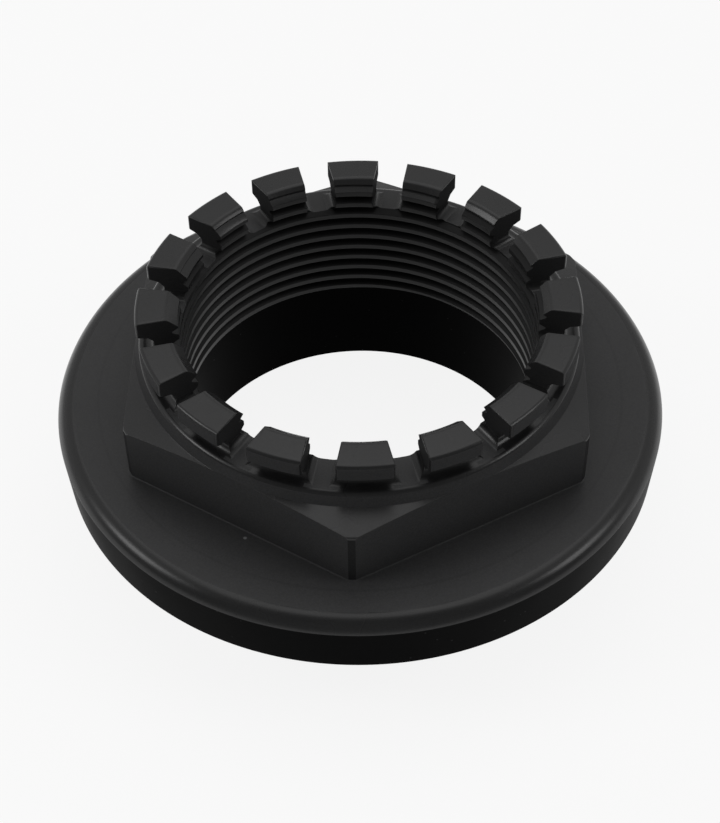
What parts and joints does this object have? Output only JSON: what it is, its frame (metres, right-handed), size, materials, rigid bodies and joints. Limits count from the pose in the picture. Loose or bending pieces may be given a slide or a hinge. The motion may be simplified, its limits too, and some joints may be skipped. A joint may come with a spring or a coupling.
{
  "type": "wheel nut",
  "caption": "Flanged hexagon wheel nut with a slotted, lipped crown ring above the hexagon and a fine internal thread.",
  "frame": {"origin": "on the thread's axis at the flat end of the spigot below the flange", "axes": "+Z along the thread's axis towards the slotted crown; a corner of the hexagon points along -Y"},
  "size_m": [0.064, 0.0638, 0.0261],
  "materials": {
    "wheel_nut": "satin black anodised"
  },
  "bodies": {
    "root": {"wheel_nut": "wheel_nut"}
  },
  "joints": []
}
